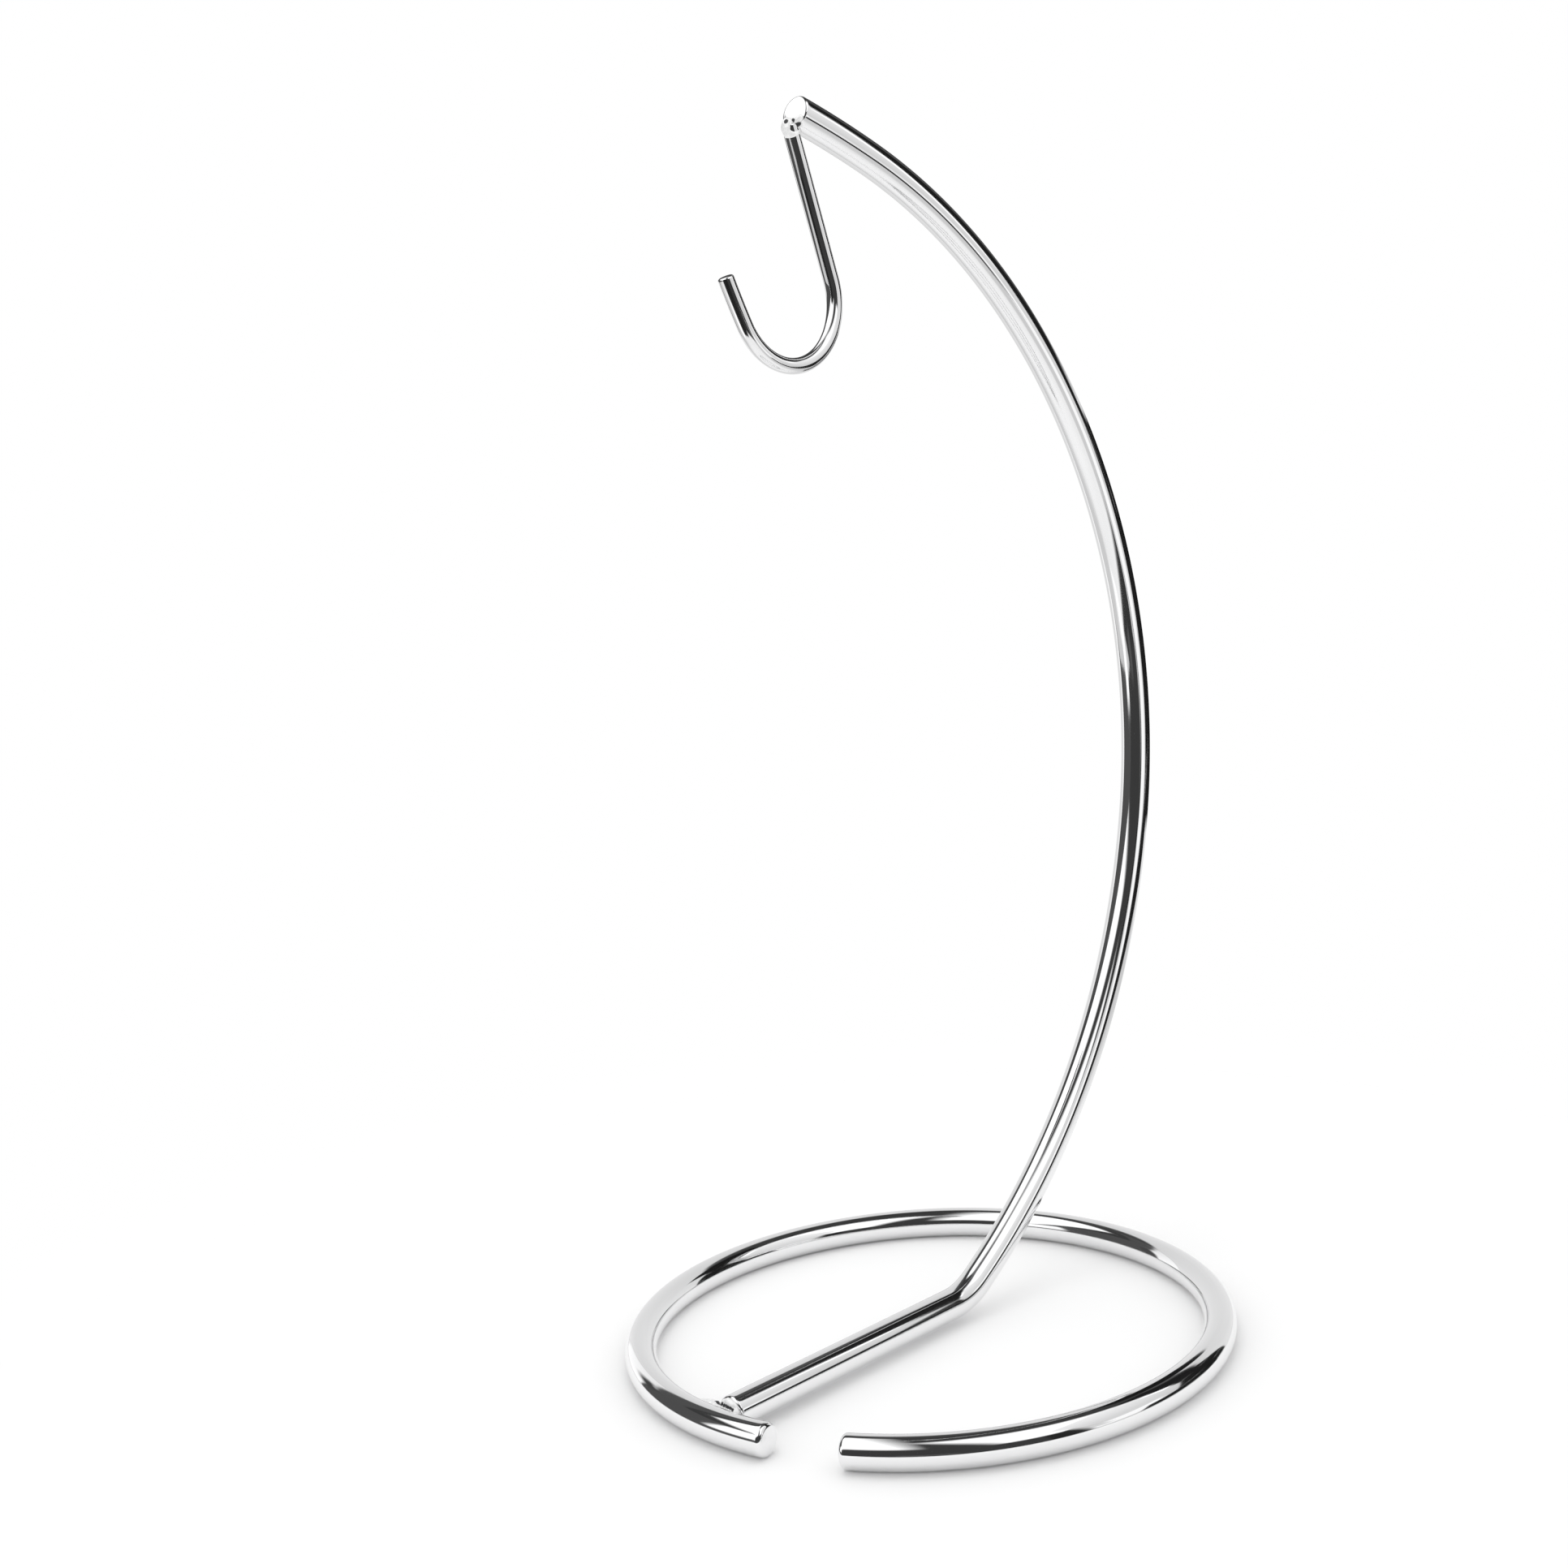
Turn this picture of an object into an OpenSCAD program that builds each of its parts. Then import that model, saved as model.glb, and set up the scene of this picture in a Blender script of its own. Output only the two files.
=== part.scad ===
// Countertop hanger bent from round rod: an open ring lies on the table, a
// crescent stem rises from the ring's inner side and carries a wire hook.
// Origin: the ring's centre, at table level. +Z is up. The stem lies in the
// XZ plane, with its foot on the -X side of the ring and its bow towards +X.

/* [Base ring] */
// Diameter of the rod of the ring and the stem
rod_d = 8; // [6:0.5:10]
// Radius of the ring, to the middle of its rod
ring_r = 73; // [64:1:95]
// Angle round the ring from the stem's foot to the nearer cut end
near_end_angle = 12.6; // [10:0.1:40]
// Angle of the opening between the ring's two cut ends
gap_angle = 13.6; // [4:0.1:40]
// Bevel of the rod's cut ends
rod_bevel = 0.8; // [0.3:0.1:1.5]

/* [Stem] */
// Height of the leg's middle above the middle of the ring's rod
leg_lift = 1.2; // [0:0.1:1.5]
// Distance past the ring's centre at which the leg starts to bend
leg_reach = 9; // [-10:0.5:15]
// Centreline radius of the bend that turns the leg upwards
bend_r = 21; // [16:1:34]
// Turn of that bend
bend_angle = 30.5; // [28:0.5:36]
// Centreline radius of the crescent's lower arc
lower_r = 175.5; // [160:0.5:195]
// Turn of the lower arc
lower_angle = 45.6; // [42:0.1:50]
// Centreline radius of the crescent's upper arc
upper_r = 150.5; // [140:0.5:165]
// Turn of the upper arc
upper_angle = 82; // [76:0.5:88]
// Centreline radius of the gently curved tip
tip_r = 300; // [200:10:500]
// Turn of the tip
tip_angle = 5; // [2:0.5:8]

/* [Hook] */
// Diameter of the hook's wire
hook_d = 3.8; // [3:0.1:5]
// Lean of the shank from upright, its lower end towards the stem
shank_tilt = 15.8; // [8:0.1:22]
// Length of the straight shank, from the stem's underside to the J bend
shank_len = 35.8; // [25:0.1:50]
// Centreline radius of the J bend
hook_r = 15.9; // [10:0.1:22]
// Lean of the front arm where it leaves the J bend, its tip away from the stem
arm_tilt = 25.9; // [8:0.1:36]
// Centreline radius of the nearly straight front arm
arm_r = 200; // [120:10:400]
// Turn of the front arm, which sets its length
arm_angle = 3.4; // [2:0.1:6]
// Bevel of the wire's cut end
wire_bevel = 0.4; // [0.2:0.1:0.7]
// How far the wire's top end laps up past the stem's underside
hook_lap = 0.9; // [0.7:0.1:1.5]
// Distance of the shank's middle from the stem's tip, along its underside
hook_inset = -0.4; // [-0.5:0.1:3]

/* [Welds] */
// Gap between the leg's square end and the ring, filled by the weld
root_gap = 0.3; // [0.2:0.05:0.6]
// Radius of the foot's weld bead at its thickest
foot_bead_r = 2.2; // [1.8:0.1:2.8]
// Length of the foot's bead along the ring, on the side away from the opening
foot_bead_run = 11; // [8:0.5:16]
// Length of the foot's bead along the ring, on the side of the opening
foot_bead_tail = 2.5; // [2:0.5:3.5]
// Wall of the hook's weld bead round the wire
hook_bead_wall = 0.7; // [0.4:0.1:1.2]
// Length of the hook's weld bead down the shank
hook_bead_len = 2; // [1.2:0.1:4]

/* [Hidden] */
// Sides of a round section, and steps of a whole turn of a bend
rod_fn = 48;
bend_fn = 180;
$fn = rod_fn;
chrome = [0.78, 0.79, 0.81];
weld_grey = [0.62, 0.63, 0.65];
rod_r = rod_d / 2;
wire_r = hook_d / 2;

// The ring's rod rests on the table, so its middle is one rod radius up.
ring_z = rod_r;
near_end = 180 + near_end_angle;
far_end = near_end + gap_angle;

// The leg's end is square. The sides of its flat come nearest to the ring's
// curved inner side, level with the ring's middle, and they stop root_gap
// short of it.
leg_z = ring_z + leg_lift;
foot_side = sqrt(pow(rod_r - rod_bevel, 2) - pow(leg_lift, 2));
foot_x = root_gap - sqrt(pow(ring_r - rod_r, 2) - pow(foot_side, 2));

// A pose is [x, z, heading]: a place in an upright plane and the direction of
// travel there, in degrees up from +X. Every bend turns to the left, and its
// middle is to the left of the pose. A negative turn goes back along the bend.
function bend_middle(pose, radius) = [
    pose[0] - radius * sin(pose[2]),
    0,
    pose[1] + radius * cos(pose[2])
];
function after_bend(pose, radius, turn) = [
    pose[0] + radius * (sin(pose[2] + turn) - sin(pose[2])),
    pose[1] - radius * (cos(pose[2] + turn) - cos(pose[2])),
    pose[2] + turn
];
function turned_back(pose) = [pose[0], pose[1], pose[2] + 180];

// The stem: a straight leg, then four bends of the same rod.
bend_pose = [leg_reach, leg_z, 0];
lower_pose = after_bend(bend_pose, bend_r, bend_angle);
upper_pose = after_bend(lower_pose, lower_r, lower_angle);
tip_pose = after_bend(upper_pose, upper_r, upper_angle);
end_pose = after_bend(tip_pose, tip_r, tip_angle);

// The shank's middle line crosses the stem's underside hook_inset back from
// the tip's end face. In the hook's own frame the origin is that crossing and
// +Z runs up the shank. The J bend ends where the shank starts.
hook_x = end_pose[0] - rod_r * sin(end_pose[2]) - hook_inset * cos(end_pose[2]);
hook_z = end_pose[1] + rod_r * cos(end_pose[2]) - hook_inset * sin(end_pose[2]);
shank_pose = [0, -shank_len, 90];
j_turn = 180 + shank_tilt - arm_tilt;
arm_pose = after_bend(shank_pose, hook_r, -j_turn);
arm_end = after_bend(arm_pose, arm_r, -arm_angle);
hook_bead_r = wire_r + hook_bead_wall;

// The foot's bead is a spindle laid along the ring's inner side, level with
// the leg. Its outline is an arc through both points and foot_bead_r out.
bead_half = (foot_bead_run + foot_bead_tail) / 2;
bead_arc_r = (pow(bead_half, 2) + pow(foot_bead_r, 2)) / (2 * foot_bead_r);
bead_shift = (foot_bead_run - foot_bead_tail) / 2;
bead_angle = 180 - bead_shift / (ring_r - rod_r) * 180 / PI;

// Moves children in two steps, a short number and a tiny rest, so that a
// place keeps all its digits when the model is written to a file and the
// ends of neighbouring bends stay together.
function short(place) = [for (v = place) round(v * 1000) / 1000];
module exact_move(place) {
    translate(short(place))
        translate(place - short(place))
            children();
}

// One bend of a rod, from a pose on by an angle.
module bend(pose, rod_radius, bend_radius, turn) {
    exact_move(bend_middle(pose, bend_radius))
        rotate([90, 0, 0])
            rotate_extrude(start = min(pose[2], pose[2] + turn) - 90, angle = abs(turn), $fn = bend_fn)
                translate([bend_radius, 0])
                    circle(r = rod_radius, $fn = rod_fn);
}

// What a bevel takes off a rod that ends at the origin, coming up from below.
module bevel_ring(rod_radius, bevel) {
    rotate_extrude()
        polygon([
            [rod_radius - bevel - 1, 1],
            [rod_radius + 1, -bevel - 1],
            [rod_radius + 1, 1]
        ]);
}

// Places children with their +Z along a pose's heading.
module at_pose(pose) {
    translate([pose[0], 0, pose[1]])
        rotate([0, 90 - pose[2], 0])
            children();
}

// Places children on the ring's middle line, at an angle round it.
module on_ring(angle) {
    rotate([0, 0, angle])
        translate([ring_r, 0, ring_z])
            children();
}

module ring_rod() {
    difference() {
        translate([0, 0, ring_z])
            rotate_extrude(start = far_end, angle = 360 - gap_angle, $fn = bend_fn)
                translate([ring_r, 0])
                    circle(r = rod_r, $fn = rod_fn);
        on_ring(near_end)
            rotate([-90, 0, 0])
                bevel_ring(rod_r, rod_bevel);
        on_ring(far_end)
            rotate([90, 0, 0])
                bevel_ring(rod_r, rod_bevel);
    }
}

module stem_rod() {
    difference() {
        union() {
            translate([leg_reach, 0, leg_z])
                rotate([0, -90, 0])
                    cylinder(r = rod_r, h = leg_reach - foot_x);
            bend(bend_pose, rod_r, bend_r, bend_angle);
            bend(lower_pose, rod_r, lower_r, lower_angle);
            bend(upper_pose, rod_r, upper_r, upper_angle);
            bend(tip_pose, rod_r, tip_r, tip_angle);
        }
        at_pose([foot_x, leg_z, 180])
            bevel_ring(rod_r, rod_bevel);
        at_pose(end_pose)
            bevel_ring(rod_r, rod_bevel);
    }
}

// Places children in the hook's own frame.
module at_hook() {
    translate([hook_x, 0, hook_z])
        rotate([0, -shank_tilt, 0])
            children();
}

module hook_wire() {
    at_hook()
        difference() {
            union() {
                translate([0, 0, -shank_len])
                    cylinder(r = wire_r, h = shank_len + hook_lap);
                bend(shank_pose, wire_r, hook_r, -j_turn);
                bend(arm_pose, wire_r, arm_r, -arm_angle);
            }
            at_pose(turned_back(arm_end))
                bevel_ring(wire_r, wire_bevel);
        }
}

module foot_bead() {
    rotate([0, 0, bead_angle])
        translate([ring_r - rod_r, 0, leg_z])
            rotate([90, 0, 0])
                rotate_extrude()
                    intersection() {
                        translate([foot_bead_r - bead_arc_r, 0])
                            circle(r = bead_arc_r, $fn = 2 * bend_fn);
                        translate([0, -bead_half])
                            square(2 * bead_half);
                    }
}

// A lump over the wire's top end, drawn out down the shank.
module hook_bead() {
    at_hook() {
        sphere(r = hook_bead_r);
        translate([0, 0, -hook_bead_len])
            cylinder(r = hook_bead_r, h = hook_bead_len);
    }
}

module base_ring() {
    color(chrome) ring_rod();
}

module stem() {
    color(chrome) stem_rod();
}

// The wire's top end is coped to the stem's underside.
module hook() {
    color(chrome)
        difference() {
            hook_wire();
            stem_rod();
        }
}

module foot_weld() {
    color(weld_grey)
        difference() {
            foot_bead();
            ring_rod();
            stem_rod();
        }
}

module hook_weld() {
    color(weld_grey)
        difference() {
            hook_bead();
            hook_wire();
            stem_rod();
        }
}

base_ring();
stem();
hook();
foot_weld();
hook_weld();
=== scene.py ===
# A countertop hanger of bent, chrome-plated rod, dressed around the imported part.
# Lengths in the dictionaries are in millimetres and angles in degrees. The ring's
# centre at table level is the origin, +Z is up, and the stem stands in the XZ plane.
import bpy
import numpy as np
from mathutils import Euler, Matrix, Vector


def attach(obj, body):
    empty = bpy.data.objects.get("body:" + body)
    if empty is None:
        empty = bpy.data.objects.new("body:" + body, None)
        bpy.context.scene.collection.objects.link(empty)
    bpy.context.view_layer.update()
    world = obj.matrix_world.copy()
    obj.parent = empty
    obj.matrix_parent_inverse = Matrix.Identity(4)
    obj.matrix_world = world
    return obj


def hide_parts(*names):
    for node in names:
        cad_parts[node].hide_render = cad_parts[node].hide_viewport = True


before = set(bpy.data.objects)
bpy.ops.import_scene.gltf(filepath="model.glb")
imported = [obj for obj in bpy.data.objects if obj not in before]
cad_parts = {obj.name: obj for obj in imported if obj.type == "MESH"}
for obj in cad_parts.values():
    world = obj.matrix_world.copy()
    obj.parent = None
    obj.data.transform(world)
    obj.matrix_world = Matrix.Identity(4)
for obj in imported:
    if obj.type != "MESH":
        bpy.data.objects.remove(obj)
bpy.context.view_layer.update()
mm = 0.001
print("frame loaded, nodes:", ", ".join(sorted(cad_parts)))


# Surfaces

def bentPath(start, heading, bends, inPlane=(0, 2)):
    # A line in one plane, made of straights and bends. Each bend is (length, turn).
    # Within a bend, heading grows evenly, and a point lies on the chord:
    # start + run * sinc(half turn) * (cos, sin) of the heading halfway there.
    lengths = np.array([b[0] for b in bends], float)
    turns = np.radians([b[1] for b in bends])
    curve = turns / lengths
    knots = np.concatenate([[0], np.cumsum(lengths)])
    angles = np.radians(heading) + np.concatenate([[0], np.cumsum(turns)])

    def chord(place, angle, bend, run):
        half = curve[bend] * run / 2
        reach = run * np.sinc(half / np.pi)
        return place + reach[..., None] * np.stack([np.cos(angle + half), np.sin(angle + half)], -1)

    corners = [np.array(start, float)]
    for k in range(len(bends)):
        corners.append(chord(corners[k], angles[k], k, lengths[k:k + 1])[0])
    corners = np.array(corners)

    def follow(run):
        k = np.clip(np.searchsorted(knots, run, side="right") - 1, 0, len(bends) - 1)
        into = run - knots[k]
        flat = chord(corners[k], angles[k], k, into)
        angle = angles[k] + curve[k] * into
        place, ahead, side = np.zeros((3, len(run), 3))
        place[:, inPlane] = flat
        ahead[:, inPlane] = np.stack([np.cos(angle), np.sin(angle)], -1)
        side[:, inPlane] = np.stack([-np.sin(angle), np.cos(angle)], -1)
        return place, ahead, side

    follow.length = knots[-1]
    return follow


def flatBend(radius, height, start, turn):
    # A bend round the origin, level at a height, from a start angle on by a turn
    at = np.radians(start)
    place = radius * np.array([np.cos(at), np.sin(at)])
    level = bentPath(place, start + 90, [(radius * np.radians(turn), turn)], (0, 1))

    def follow(run):
        place, ahead, side = level(run)
        place[:, 2] = height
        return place, ahead, side

    follow.length = level.length
    return follow


# How far out the rows of a cut end's disc lie, as shares of its radius, and the count
# of rows round its rim
rodForm = {"discShares": (0.25, 0.5, 0.75, 0.92), "rimRows": 11}


def rodRows(length, sizes):
    # Runs and radii of a rod's cross-sections. Each cut end is a slightly crowned
    # disc, then a rim on a quarter circle: radius - edge * (1 - sin(angle)) at a
    # depth of edge * (1 - cos(angle)).
    radius, edge, crown, step = (sizes[key] for key in ("rod", "edge", "crown", "step"))
    share = np.array(rodForm["discShares"])
    angle = np.radians(np.linspace(0, 90, rodForm["rimRows"]))
    depth = np.concatenate([crown * share ** 2, crown + edge * (1 - np.cos(angle))])
    width = np.concatenate([share * (radius - edge), radius - edge * (1 - np.sin(angle))])
    body = np.linspace(depth[-1], length - depth[-1], int(length / step))[1:-1]
    runs = np.concatenate([depth, body, length - depth[::-1]])
    radii = np.concatenate([width, np.full(len(body), radius), width[::-1]])
    return runs, radii


def newObject(name, points, faces):
    # An object with these points, given in millimetres, and faces
    mesh = bpy.data.meshes.new(name)
    mesh.from_pydata((points * mm).tolist(), [], faces)
    made = bpy.data.objects.new(name, mesh)
    bpy.context.scene.collection.objects.link(made)
    return made


def closedMesh(name, rings, poles, coords, paintedShade=None):
    # A stack of rings (rings, points round, 3) joined by quads, with a fan of
    # triangles from each pole to the ring beside it. rodCoord and a mask of painted
    # shade are kept on the points for the materials.
    count, around = rings.shape[:2]
    points = np.concatenate([rings.reshape(-1, 3), poles])
    i, j = np.meshgrid(np.arange(count - 1), np.arange(around), indexing="ij")
    after = (j + 1) % around
    here, above = i * around, (i + 1) * around
    quads = np.stack([here + j, here + after, above + after, above + j], -1)
    j = np.arange(around)
    after = (j + 1) % around
    first, last = count * around, count * around + 1
    below = (count - 1) * around
    lowFan = np.stack([np.full(around, first), after, j], -1)
    highFan = np.stack([np.full(around, last), below + j, below + after], -1)
    faces = quads.reshape(-1, 4).tolist() + lowFan.tolist() + highFan.tolist()
    piece = newObject(name, points, faces)
    mesh = piece.data
    mesh.polygons.foreach_set("use_smooth", np.ones(len(faces), bool))
    layer = mesh.attributes.new("rodCoord", "FLOAT_VECTOR", "POINT")
    layer.data.foreach_set("vector", coords.astype(np.float32).ravel())
    if paintedShade is not None:
        layer = mesh.attributes.new("paintedShade", "FLOAT", "POINT")
        layer.data.foreach_set("value", paintedShade.astype(np.float32))
    mesh.update()
    return piece


def sweptRod(name, follow, runs, radii, around, wave=None, shadeMask=None):
    # A round section carried along a path: place + radius * (cos(turn) * side +
    # sin(turn) * over), where over is square to the path's plane. rodCoord holds the
    # run and the point's place in the section, for patterns drawn along the rod.
    place, ahead, side = follow(runs)
    over = np.cross(ahead, side)
    turn = np.linspace(0, 2 * np.pi, around, endpoint=False)
    reach = np.broadcast_to(radii[:, None], (len(runs), around)).copy()
    if wave is not None:
        reach *= wave(runs[:, None], turn[None, :])
    across = reach * np.cos(turn)
    along = reach * np.sin(turn)
    rings = place[:, None] + across[..., None] * side[:, None] + along[..., None] * over[:, None]
    ends = np.array([0.0, follow.length])
    poles = follow(ends)[0]
    coords = np.stack([np.broadcast_to(runs[:, None], across.shape), across, along], -1).reshape(-1, 3)
    poleCoords = np.stack([ends, 0 * ends, 0 * ends], -1)
    # The mask of painted shade, for shadowed creases, is kept on the points.
    paintedShade = None
    if shadeMask is not None:
        paintedShade = np.append((shadeMask(runs[:, None], turn[None, :]) + 0 * across).ravel(), [0.0, 0.0])
    return closedMesh(name, rings, poles, np.concatenate([coords, poleCoords]), paintedShade)


# How sharply two drops of weld metal meet, how deep a pit is as a share of its size,
# and the least reach of a drop, in millimetres
weldForm = {"blend": 14, "pitDepth": 0.6, "leastReach": 0.01}


def weldLump(name, drops, pits, pole, rows):
    # Several drops of metal run together: from the first drop's middle, each
    # direction d reaches the farthest drop's skin, smoothly blended where two meet.
    # With c from that middle to the drop's own and r its radius, the reach is
    # d.c + sqrt((d.c)^2 - c.c + r^2). Pits are dents darkened by painted shade, as deep
    # as exp(-(distance / size)^2). Drops and pits are (x, y, z, radius or size), the
    # pole is an axis, and rows are the counts of rows and of points in each.
    down, around = rows
    polar = np.linspace(0, np.pi, down + 2)[1:-1]
    turn = np.linspace(0, 2 * np.pi, around, endpoint=False)
    axis = np.array(pole, float)
    axis /= np.linalg.norm(axis)
    helper = np.cross(axis, [0, 1, 0])
    helper /= np.linalg.norm(helper)
    third = np.cross(axis, helper)
    flat = np.sin(polar)[:, None]
    ways = (flat * np.cos(turn))[..., None] * helper + (flat * np.sin(turn))[..., None] * third
    ways = ways - np.cos(polar)[:, None, None] * axis
    ways = np.concatenate([ways.reshape(-1, 3), [-axis, axis]])
    middles = np.array([d[:3] for d in drops], float)
    sizes = np.array([d[3] for d in drops], float)
    offsets = middles - middles[0]
    facing = ways @ offsets.T
    inside = facing ** 2 - (offsets ** 2).sum(1) + sizes ** 2
    reach = np.where(inside > 0, facing + np.sqrt(np.maximum(inside, 0)), 0)
    reach = np.maximum(reach, weldForm["leastReach"])
    reach = (reach ** weldForm["blend"]).sum(1) ** (1 / weldForm["blend"])
    points = middles[0] + reach[:, None] * ways
    pitPlaces = np.array([p[:3] for p in pits], float)
    pitSizes = np.array([p[3] for p in pits], float)
    away = np.linalg.norm(points[:, None] - pitPlaces, axis=2) / pitSizes
    dent = np.exp(-away ** 2)
    points -= (dent * pitSizes * weldForm["pitDepth"]).sum(1)[:, None] * ways
    rings = points[:-2].reshape(down, around, 3)
    # The deepest pit at each point sets its painted shade.
    return closedMesh(name, rings, points[-2:], points, dent.max(1))


# Shader maths

class Signal:
    # A node socket that takes part in plain arithmetic.
    def __init__(self, tree, socket=None):
        self.tree = tree
        self.socket = socket

    def node(self, kind, settings=None, values=None, output=0):
        # Adds any node: its settings first, then the values or links of its
        # sockets. Gives back the chosen output.
        made = self.tree.nodes.new(kind)
        for key, value in (settings or {}).items():
            setattr(made, key, value)
        for key, value in (values or {}).items():
            if isinstance(value, Signal):
                self.tree.links.new(value.socket, made.inputs[key])
            else:
                made.inputs[key].default_value = value
        return Signal(self.tree, made.outputs[output]) if len(made.outputs) else None

    def other(self, output):
        # Another output of the same node
        return Signal(self.tree, self.socket.node.outputs[output])

    def maths(self, operation, *terms):
        return self.node("ShaderNodeMath", {"operation": operation}, dict(enumerate(terms)))

    def __add__(self, other):
        return self.maths("ADD", self, other)

    def __mul__(self, other):
        return self.maths("MULTIPLY", self, other)

    def __sub__(self, other):
        return self.maths("SUBTRACT", self, other)

    def __rsub__(self, other):
        return self.maths("SUBTRACT", other, self)

    def clamped(self):
        return self.maths("MAXIMUM", self.maths("MINIMUM", self, 1.0), 0.0)


def freshMaterial(name):
    # An empty material, and a signal to start its nodes from
    material = bpy.data.materials.new(name)
    material.use_nodes = True
    material.node_tree.nodes.clear()
    return material, Signal(material.node_tree)


# Detail and roughness of the noise behind the lines, the waviness and the haze
noiseForm = {"line": (3.0, 0.6), "wave": (1.0, 0.5), "haze": (4.0, 0.65)}


def platedMetal(name, look):
    # Mirror plating over drawn steel: faint lines along the rod, a slow waviness
    # that bends the reflections, and thin patches of haze. On weld metal, painted
    # shade turns the colour dark where the piece's own shade mask passes a level, and
    # the lines break up its outline.
    material, start = freshMaterial(name)

    def noise(kind, vector):
        detail, roughness = noiseForm[kind]
        return start.node("ShaderNodeTexNoise", values={
            "Vector": vector, "Scale": look[kind + "Scale"], "Detail": detail, "Roughness": roughness})

    place = start.node("ShaderNodeAttribute", {"attribute_name": "rodCoord"}, output="Vector")
    drawn = start.node("ShaderNodeVectorMath", {"operation": "MULTIPLY"},
                       {0: place, 1: (look["lineStretch"], 1, 1)})
    lines = noise("line", drawn)
    slow = start.node("ShaderNodeVectorMath", {"operation": "MULTIPLY"},
                      {0: place, 1: (look["waveStretch"], 1, 1)})
    wave = noise("wave", slow)
    haze = noise("haze", slow)
    height = lines * look["lineHeight"] + wave * look["waveHeight"]
    bump = start.node("ShaderNodeBump", values={"Height": height, "Distance": mm, "Strength": 1.0})
    roughness = haze * (look["rough"][1] - look["rough"][0]) + look["rough"][0]
    tone = start.node("ShaderNodeMix", {"data_type": "RGBA"}, {
        "Factor": haze * 0.5 + lines * 0.5, 6: (*look["shade"], 1), 7: (*look["colour"], 1)}, output=2)
    # Painted shade: the colour goes near-black where the piece's mask of painted shade passes a level.
    if "paintedShade" in look:
        dark = start.node("ShaderNodeAttribute", {"attribute_name": "paintedShade"}, output="Fac")
        past = dark + (lines - 0.5) * look["paintedShadeBreak"] - look["paintedShadeFrom"]
        tone = start.node("ShaderNodeMix", {"data_type": "RGBA"}, {
            "Factor": (past * look["paintedShadeEdge"]).clamped(), 6: tone, 7: (*look["paintedShade"], 1)}, output=2)
    shader = start.node("ShaderNodeBsdfPrincipled", values={
        "Base Color": tone, "Metallic": look["metal"], "Roughness": roughness, "Normal": bump})
    start.node("ShaderNodeOutputMaterial", values={"Surface": shader})
    return material


def coat(piece, material, slot, *nodes):
    # Gives a piece its plating, in place of the nodes named last. The slot is not used.
    piece.data.materials.clear()
    piece.data.materials.append(material)
    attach(piece, "root")
    if nodes:
        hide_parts(*nodes)


plating = platedMetal("mirror plating", {
    "colour": (0.90, 0.90, 0.905), "shade": (0.82, 0.82, 0.825), "rough": (0.05, 0.09),
    "lineStretch": 0.01, "lineScale": 1.2, "lineHeight": 0.0001,
    "waveStretch": 0.12, "waveScale": 0.2, "waveHeight": 0.01, "hazeScale": 0.4, "metal": 1.0})
wirePlating = platedMetal("wire plating", {
    "colour": (0.88, 0.88, 0.885), "shade": (0.80, 0.80, 0.805), "rough": (0.05, 0.09),
    "lineStretch": 0.01, "lineScale": 2.5, "lineHeight": 0.0005,
    "waveStretch": 0.15, "waveScale": 0.4, "waveHeight": 0.005, "hazeScale": 0.8, "metal": 1.0})
# Pale weld metal, painted near-white over little metal: a painted highlight for the weld's bright
# reflection.
weldPlating = platedMetal("weld plating", {
    "colour": (0.93, 0.93, 0.93), "shade": (0.86, 0.86, 0.86), "rough": (0.22, 0.4),
    # Near-black painted shade for the welds' shadowed creases and pits
    "paintedShade": (0.03, 0.03, 0.032), "paintedShadeFrom": 0.52, "paintedShadeBreak": 0.4, "paintedShadeEdge": 6.0,
    "lineStretch": 1.0, "lineScale": 1.1, "lineHeight": 0.05,
    "waveStretch": 1.0, "waveScale": 0.6, "waveHeight": 0.1, "hazeScale": 1.2, "metal": 0.15})


# The ring of 8 mm rod, from the cut end farther from the stem's foot round to the other

ringSizes = {
    "radius": 73, "height": 4, "farEnd": 206.2, "opening": 13.6,
    "rod": 3.98, "edge": 1.3, "crown": 0.35, "step": 1.0, "sides": 72}

ringPath = flatBend(ringSizes["radius"], ringSizes["height"], ringSizes["farEnd"],
                    360 - ringSizes["opening"])
ringRuns, ringRadii = rodRows(ringPath.length, ringSizes)
ring = sweptRod("ring_rod", ringPath, ringRuns, ringRadii, ringSizes["sides"])
coat(ring, plating, "plated_rod", "base_ring")
print("ring: %d points" % len(ring.data.vertices))


# The stem: a leg across the ring, then four bends (radius, turn), the last one its tip

stemSizes = {
    "footX": -68.636, "legZ": 5.2, "legReach": 9,
    "bends": [(21, 30.5), (175.5, 45.6), (150.5, 82), (300, 5)],
    "rod": 3.98, "edge": 0.7, "crown": 0.25, "step": 0.8, "sides": 72}

stemBends = [(stemSizes["legReach"] - stemSizes["footX"], 0)]
stemBends += [(radius * np.radians(turn), turn) for radius, turn in stemSizes["bends"]]
stemPath = bentPath((stemSizes["footX"], stemSizes["legZ"]), 0, stemBends)
stemRuns, stemRadii = rodRows(stemPath.length, stemSizes)
stem = sweptRod("stem_rod", stemPath, stemRuns, stemRadii, stemSizes["sides"])
coat(stem, plating, "plated_rod", "stem")
tipPlace, tipAhead, tipSide = (row[0] for row in stemPath(np.array([stemPath.length])))
print("stem: tip at", np.round(tipPlace, 2))


# The hook of thinner wire, from the stem's underside down, round and up. Its bends,
# the J and the arm, are (radius, turn).

hookSizes = {
    "inset": -0.4, "lap": 0.9, "lean": 15.8, "shank": 35.8, "bends": [(15.9, 169.9), (200, 3.4)],
    "rod": 1.9, "edge": 0.6, "crown": 0.08, "step": 0.4, "sides": 48}

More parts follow.
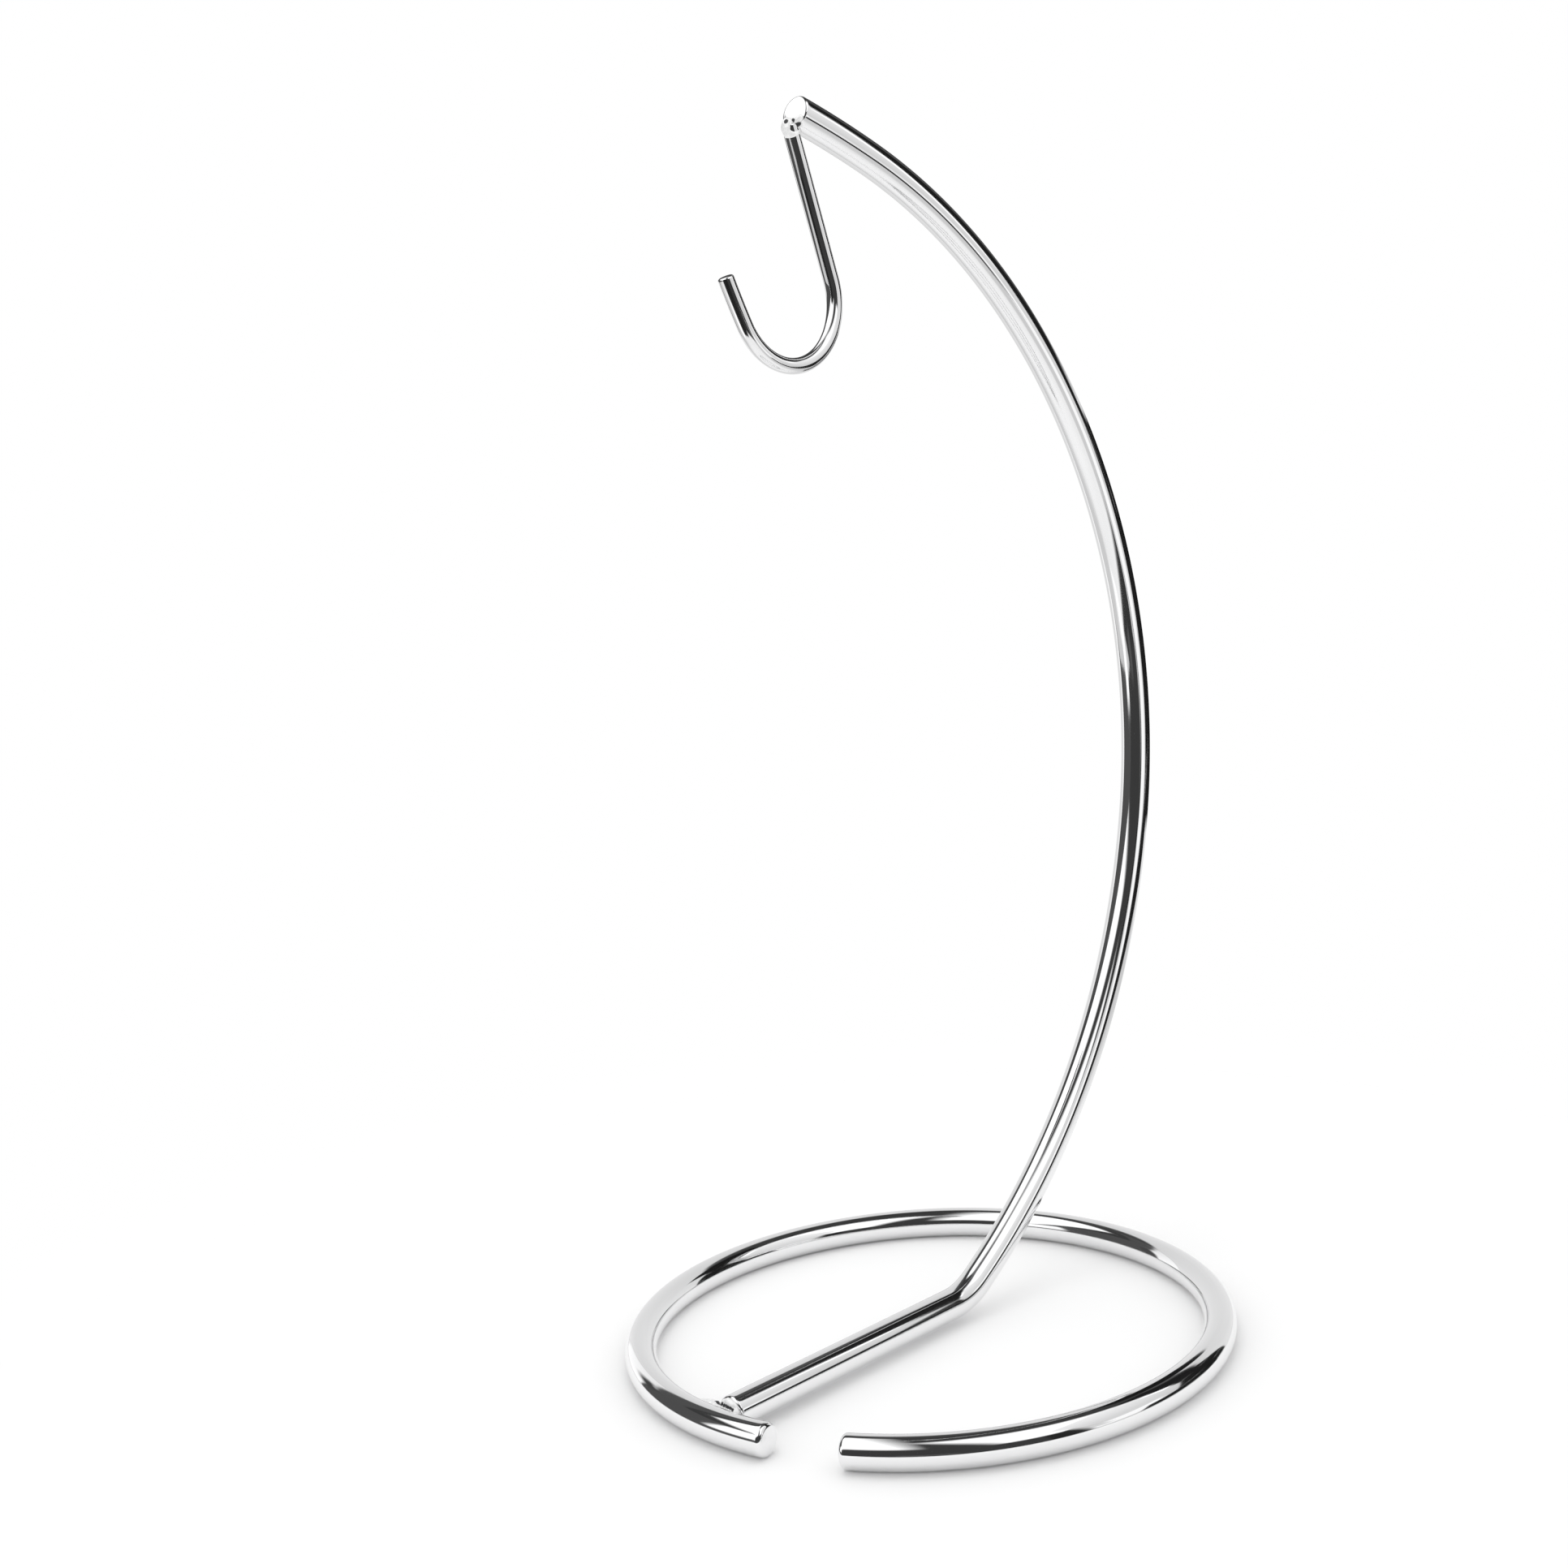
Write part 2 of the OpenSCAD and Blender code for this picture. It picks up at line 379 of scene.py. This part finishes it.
shankTop = tipPlace + stemSizes["rod"] * tipSide - hookSizes["inset"] * tipAhead
shankHeading = hookSizes["lean"] - 90
shankWay = np.array([np.cos(np.radians(shankHeading)), 0, np.sin(np.radians(shankHeading))])
hookStart = shankTop - hookSizes["lap"] * shankWay
hookBends = [(hookSizes["shank"] + hookSizes["lap"], 0)]
hookBends += [(radius * np.radians(turn), -turn) for radius, turn in hookSizes["bends"]]
hookPath = bentPath(hookStart[[0, 2]], shankHeading, hookBends)
hookRuns, hookRadii = rodRows(hookPath.length, hookSizes)
hook = sweptRod("hook_wire", hookPath, hookRuns, hookRadii, hookSizes["sides"])
coat(hook, wirePlating, "plated_wire", "hook")
print("hook: top at", np.round(shankTop, 2))


# The hook's weld: drops of metal run together over the wire's top end. Places are
# given back along the stem, down the shank and to the stem's right side.

# Its pits are real dents, and carry painted shade for the dark creases between the wire and the stem.
hookWeldSizes = {
    "drops": [(0, 0.1, 0, 2.1), (-0.2, 1.5, 0.2, 1.9), (-0.9, -0.7, 0.3, 1.2), (1.7, 0.3, -0.1, 1.5),
              (0.6, -1.3, 1.3, 1.0), (1.2, 1.1, -0.9, 1.2), (1.5, -1.2, 1.9, 1.1), (1.3, -2.0, 2.7, 0.9)],
    "pits": [(-2.0, -0.7, 0.7, 0.9), (0.0, -1.6, 1.9, 0.7), (0.8, -0.65, 2.6, 1.15),
             (-0.05, -0.2, 2.0, 0.8), (-0.9, 1.1, 1.8, 0.95)],
    "rows": (72, 96)}
weldAxes = np.array([-tipAhead, shankWay, [0, -1, 0]])


def weldPlaces(items):
    return [tuple(shankTop + np.array(item[:3]) @ weldAxes) + (item[3],) for item in items]


hookWeld = weldLump("hook_weld_lump", weldPlaces(hookWeldSizes["drops"]),
                    weldPlaces(hookWeldSizes["pits"]), shankWay, hookWeldSizes["rows"])
coat(hookWeld, weldPlating, "plated_weld", "hook_weld")


# The foot's weld: a rippled bead along the ring's inner side, thickest beside the
# leg. Shares are of its length, and the seam is where painted shade darkens it.

footWeldSizes = {
    "radius": 69.6, "height": 5.6, "start": 171.0, "turn": 11.2, "rows": 90, "sides": 56,
    "thick": 1.75, "thin": 1.0, "thickShare": 0.43, "thickSpread": 0.28,
    "taper": 4, "ripple": 0.07, "pitch": 1.7, "bow": 0.9,
    "sway": 0.05, "swayRate": 0.9, "swayTwist": 2,
    "seamShares": (0.42, 0.95), "seamFade": 12, "seamTurn": 75, "seamSpread": 24}


def beadWave(run, turn):
    # 1 + ripple * sin(2 pi * run / pitch + bow * cos(turn)), whose ripples bow round
    # the bead, + sway * sin(swayRate * run + swayTwist * sin(turn)), a slow sway
    ripple = np.sin(2 * np.pi * run / footWeldSizes["pitch"] + footWeldSizes["bow"] * np.cos(turn))
    sway = np.sin(footWeldSizes["swayRate"] * run + footWeldSizes["swayTwist"] * np.sin(turn))
    return 1 + footWeldSizes["ripple"] * ripple + footWeldSizes["sway"] * sway


def beadSeamShade(run, turn):
    # Painted shade in the seam between the bead and the leg's end, on the bead's inner top
    share = run / beadPath.length
    first, last = footWeldSizes["seamShares"]
    rise = np.clip((share - first) * footWeldSizes["seamFade"], 0, 1)
    fall = np.clip((last - share) * footWeldSizes["seamFade"], 0, 1)
    away = np.degrees(turn) - footWeldSizes["seamTurn"]
    return rise * fall * np.exp(-(away / footWeldSizes["seamSpread"]) ** 2)


# The bead's radius swells as exp(-((share - thickShare) / thickSpread)^2) and closes
# at both ends as sqrt(1 - (2 * share - 1)^taper).
beadPath = flatBend(footWeldSizes["radius"], footWeldSizes["height"], footWeldSizes["start"],
                    footWeldSizes["turn"])
beadShare = (1 - np.cos(np.linspace(0, np.pi, footWeldSizes["rows"])[1:-1])) / 2
bulge = np.exp(-((beadShare - footWeldSizes["thickShare"]) / footWeldSizes["thickSpread"]) ** 2)
beadRadii = footWeldSizes["thin"] + (footWeldSizes["thick"] - footWeldSizes["thin"]) * bulge
beadRadii *= (1 - (2 * beadShare - 1) ** footWeldSizes["taper"]) ** 0.5
footWeld = sweptRod("foot_weld_bead", beadPath, beadShare * beadPath.length, beadRadii,
                    footWeldSizes["sides"], beadWave, beadSeamShade)
coat(footWeld, weldPlating, "plated_weld", "foot_weld")


# A drop of the same metal over the top of the leg's end, down to the ring

# Its pits are real dents, and carry painted shade along the shadowed crease where the drop meets the ring.
footDropSizes = {
    "drops": [(-68.2, -0.6, 6.5, 2.1), (-68.1, 1.3, 6.4, 1.9), (-68.3, 0.3, 7.4, 1.4),
              (-68.8, -1.9, 6.0, 1.3)],
    "pits": [(-69.4, 2.2, 7.4, 0.75), (-69.8, 1.2, 7.5, 0.75), (-69.9, 0.25, 7.45, 0.75),
             (-70.0, -0.6, 7.4, 0.75), (-69.9, -1.4, 7.3, 0.75), (-69.65, -2.1, 6.95, 0.6)],
    "rows": (56, 72)}

footDrop = weldLump("foot_weld_drop", footDropSizes["drops"], footDropSizes["pits"],
                    (0, 0, -1), footDropSizes["rows"])
coat(footDrop, weldPlating, "plated_weld")
print("welds done")


# Studio: a white table and background, and a dark room of cards with soft boxes in it
# that only reflections see

# The room's own axes follow the camera: across to its right, away from it, and up.
roomAxes = np.array([[0.719, -0.695, 0], [0.695, 0.719, 0], [0, 0, 1]])
cardGain = 1.03  # strength of every card's light


def quadCard(name, corners, levels, soft):
    # A flat card, seen only in reflections. Its corners run from the lower left one
    # round to the upper left, its brightness from the lower edge to the upper, and
    # its edges fade over a width of soft.
    corners = np.array(corners, float)
    card = newObject(name, corners @ roomAxes, [(0, 1, 2, 3)])
    layer = card.data.uv_layers.new(name="UVMap")
    layer.data.foreach_set("uv", [0, 0, 1, 0, 1, 1, 0, 1])
    wide = np.linalg.norm(corners[1] + corners[2] - corners[0] - corners[3]) / 2
    tall = np.linalg.norm(corners[3] + corners[2] - corners[0] - corners[1]) / 2
    material, start = freshMaterial(name)
    uv = start.node("ShaderNodeTexCoord", output="UV")
    u = start.node("ShaderNodeSeparateXYZ", values={0: uv})
    v = u.other(1)

    def inside(share, size):
        # 0 on the card's edge, rising to 1 at a width of soft from it
        return ((0.5 - start.maths("ABSOLUTE", share - 0.5)) * (size / soft)).clamped()

    mask = inside(u, wide) * inside(v, tall)
    level = v * (levels[1] - levels[0]) + levels[0]
    glow = start.node("ShaderNodeEmission", values={"Color": level, "Strength": cardGain})
    clear = start.node("ShaderNodeBsdfTransparent")
    shader = start.node("ShaderNodeMixShader", values={0: mask, 1: clear, 2: glow})
    start.node("ShaderNodeOutputMaterial", values={"Surface": shader})
    card.data.materials.append(material)
    for ray in ("camera", "diffuse", "shadow", "transmission", "volume_scatter"):
        setattr(card, "visible_" + ray, False)


def panel(name, place, yaw, tilt, half, levels, soft):
    # A rectangular card round a middle place. Its width runs along the yaw, and its
    # height leans by the tilt from upright.
    yaw, tilt = np.radians([yaw, tilt])
    across = np.array([np.cos(yaw), np.sin(yaw), 0])
    upward = np.array([-np.sin(yaw) * np.sin(tilt), np.cos(yaw) * np.sin(tilt), np.cos(tilt)])
    wide, tall = np.array(half, float) + soft / 2
    signs = np.array([[-1, -1], [1, -1], [1, 1], [-1, 1]])
    corners = np.array(place, float) + signs[:, :1] * wide * across + signs[:, 1:] * tall * upward
    quadCard(name, corners, levels, soft)


# The dark room: each wall's middle, yaw, tilt, half size and brightness, and the
# softness of their edges
wallSoft = 1
roomWalls = {
    "left": ((-1000, -150, 350), 90, 0, (700, 400), 0.08),
    "right": ((550, -150, 350), 90, 0, (700, 400), 0.02),
    "front": ((-200, -800, 150), 0, 0, (850, 600), 0.045),
    "back": ((-200, 500, 350), 0, 0, (850, 400), 0.08),
    "top": ((-200, -150, 750), 0, 90, (850, 700), 0.045),
    "far_floor": ((-200, -150, -3), 0, 90, (850, 700), 0.66)}

for name, (place, yaw, tilt, half, level) in roomWalls.items():
    panel(name + "_wall", place, yaw, tilt, half, (level, level), wallSoft)

# Soft boxes, reflectors and black flags in the room, laid out in the same way, with
# the brightness of their lower and upper edges and the softness of all four
roomCards = {
    "right_reflector": ((472, -165, 220), 85, 12, (265, 500), (0.40, 1.05), 60),
    "right_low_reflector": ((452, -245, 95), 90, 0, (150, 70), (1.08, 1.08), 40),
    "backdrop": ((273, 256, 115), -10, 0, (525, 195), (0.90, 0.70), 30),
    "backdrop_left": ((-407, 372, 115), -10, 0, (172, 195), (1.25, 0.85), 40),
    "front_floor": ((-200, -210, -2), 0, 90, (420, 170), (1.02, 0.85), 60),
    "front_floor_flag": ((60, -600, 2), 0, 90, (400, 220), (0.035, 0.035), 60),
    "backdrop_flag": ((-140, 300, 370), -40, 30, (265, 45), (0.04, 0.04), 50),
    "left_soft_box": ((-330, -50, 510), 0, 65, (245, 410), (1.30, 1.30), 80),
    "right_soft_box": ((430, -270, 580), 30, 70, (380, 360), (1.25, 1.25), 100),
    "left_low_reflector": ((-204, -104, 86), -72, 0, (58, 48), (1.20, 1.20), 16),
    "left_flag": ((-355, 230, 135), 5, 0, (58, 53), (0.06, 0.06), 50),
    "front_reflector": ((295, -260, 90), -45, -25, (77, 44), (0.70, 0.70), 50),
    "hook_flag": ((-36, -52, 246), -30, 0, (15, 28), (0.015, 0.015), 5),
    "outline_flag": ((118, 118, 174), -46, 0, (36, 70), (0.01, 0.01), 6),
    "front_flag": ((-60, -570, 30), -10, 5, (100, 48), (0.09, 0.09), 30)}

for name, (place, yaw, tilt, half, levels, soft) in roomCards.items():
    panel(name, place, yaw, tilt, half, levels, soft)

# A tall flag at the right whose front edge slopes outwards to its foot, in four
# parts, and a bright strip along its upper front edge. Corners are (away, up).
slopedFlag = {"across": 440, "level": 0.012, "soft": 14, "parts": [
    ((-210, 2), (280, 2), (280, 98), (-160, 98)),
    ((-56, 76), (280, 76), (280, 240), (36, 240)),
    ((20, 222), (280, 222), (300, 520), (98, 520)),
    ((94, 505), (300, 505), (420, 720), (125, 720))]}
edgeLight = {"across": 436, "level": 1.2, "soft": 12, "part": ((5, 290), (58, 290), (96, 500), (36, 500))}


def sideCard(name, sizes, part):
    # A card that faces the object from the right
    corners = [(sizes["across"], away, up) for away, up in part]
    quadCard(name, corners, (sizes["level"], sizes["level"]), sizes["soft"])


for k, part in enumerate(slopedFlag["parts"]):
    sideCard("right_flag_%d" % k, slopedFlag, part)
sideCard("right_edge_light", edgeLight, edgeLight["part"])


# The table: a pale disc that fades into the white background from one radius to another

tableSizes = {
    "radius": 600, "sides": 96, "fadeFrom": 110, "fadeTo": 320,
    "colour": (0.97, 0.97, 0.97), "shade": (0.965, 0.965, 0.965), "grain": 60.0, "rough": 0.7}

turn = np.linspace(0, 2 * np.pi, tableSizes["sides"], endpoint=False)
rim = np.stack([np.cos(turn), np.sin(turn), 0 * turn], -1) * tableSizes["radius"]
table = newObject("table", rim, [tuple(range(tableSizes["sides"]))])
material, start = freshMaterial("table")
place = start.node("ShaderNodeTexCoord", output="Object")
distance = start.node("ShaderNodeVectorMath", {"operation": "LENGTH"}, {0: place}, output="Value")
alpha = start.node("ShaderNodeMapRange", {"interpolation_type": "SMOOTHSTEP"}, {
    "Value": distance, "From Min": tableSizes["fadeFrom"] * mm, "From Max": tableSizes["fadeTo"] * mm,
    "To Min": 1.0, "To Max": 0.0})
grain = start.node("ShaderNodeTexNoise", values={
    "Vector": place, "Scale": tableSizes["grain"], "Detail": 3.0})
tone = start.node("ShaderNodeMix", {"data_type": "RGBA"}, {
    "Factor": grain, 6: (*tableSizes["shade"], 1), 7: (*tableSizes["colour"], 1)}, output=2)
shader = start.node("ShaderNodeBsdfPrincipled", values={
    "Base Color": tone, "Roughness": tableSizes["rough"], "Specular IOR Level": 0.0, "Alpha": alpha})
start.node("ShaderNodeOutputMaterial", values={"Surface": shader})
table.data.materials.append(material)


# The background: plain white where the camera looks, a touch less as light

worldLight = {"seen": 1.0, "cast": 0.98}
world = bpy.data.worlds.new("studio")
bpy.context.scene.world = world
world.use_nodes = True
world.node_tree.nodes.clear()
start = Signal(world.node_tree)
path = start.node("ShaderNodeLightPath", output="Is Camera Ray")
seen = (path + path.other("Is Glossy Ray") + path.other("Is Transmission Ray")).clamped()
strength = seen * (worldLight["seen"] - worldLight["cast"]) + worldLight["cast"]
light = start.node("ShaderNodeBackground", values={"Color": (1, 1, 1, 1), "Strength": strength})
start.node("ShaderNodeOutputWorld", values={"Surface": light})


# A soft overhead lamp, for the shadow on the table

lampSizes = {"place": (-40, 60, 900), "size": 500, "power": 0.9}
lamp = bpy.data.lights.new("soft_box", "AREA")
lamp.shape = "SQUARE"
lamp.size = lampSizes["size"] * mm
lamp.energy = lampSizes["power"]
lampObject = bpy.data.objects.new("soft_box", lamp)
lampObject.location = Vector(lampSizes["place"]) * mm
lampObject.rotation_euler = (-lampObject.location).to_track_quat("-Z", "Y").to_euler()
lampObject.visible_glossy = False
bpy.context.scene.collection.objects.link(lampObject)
print("studio done")


# The camera, at the photo's viewing angle

cameraSizes = {
    "place": (-350.92, -327.45, 199.23), "turn": (83.41026, 4.72770, -44.54265),
    "lens": 44.979, "sensor": 36}
camera = bpy.data.cameras.new("camera")
camera.lens = cameraSizes["lens"]
camera.sensor_width = cameraSizes["sensor"]
cameraObject = bpy.data.objects.new("camera", camera)
cameraObject.location = Vector(cameraSizes["place"]) * mm
cameraObject.rotation_euler = Euler(np.radians(cameraSizes["turn"]).tolist(), "XYZ")
bpy.context.scene.collection.objects.link(cameraObject)
bpy.context.scene.camera = cameraObject
bpy.context.scene.view_settings.view_transform = "Standard"
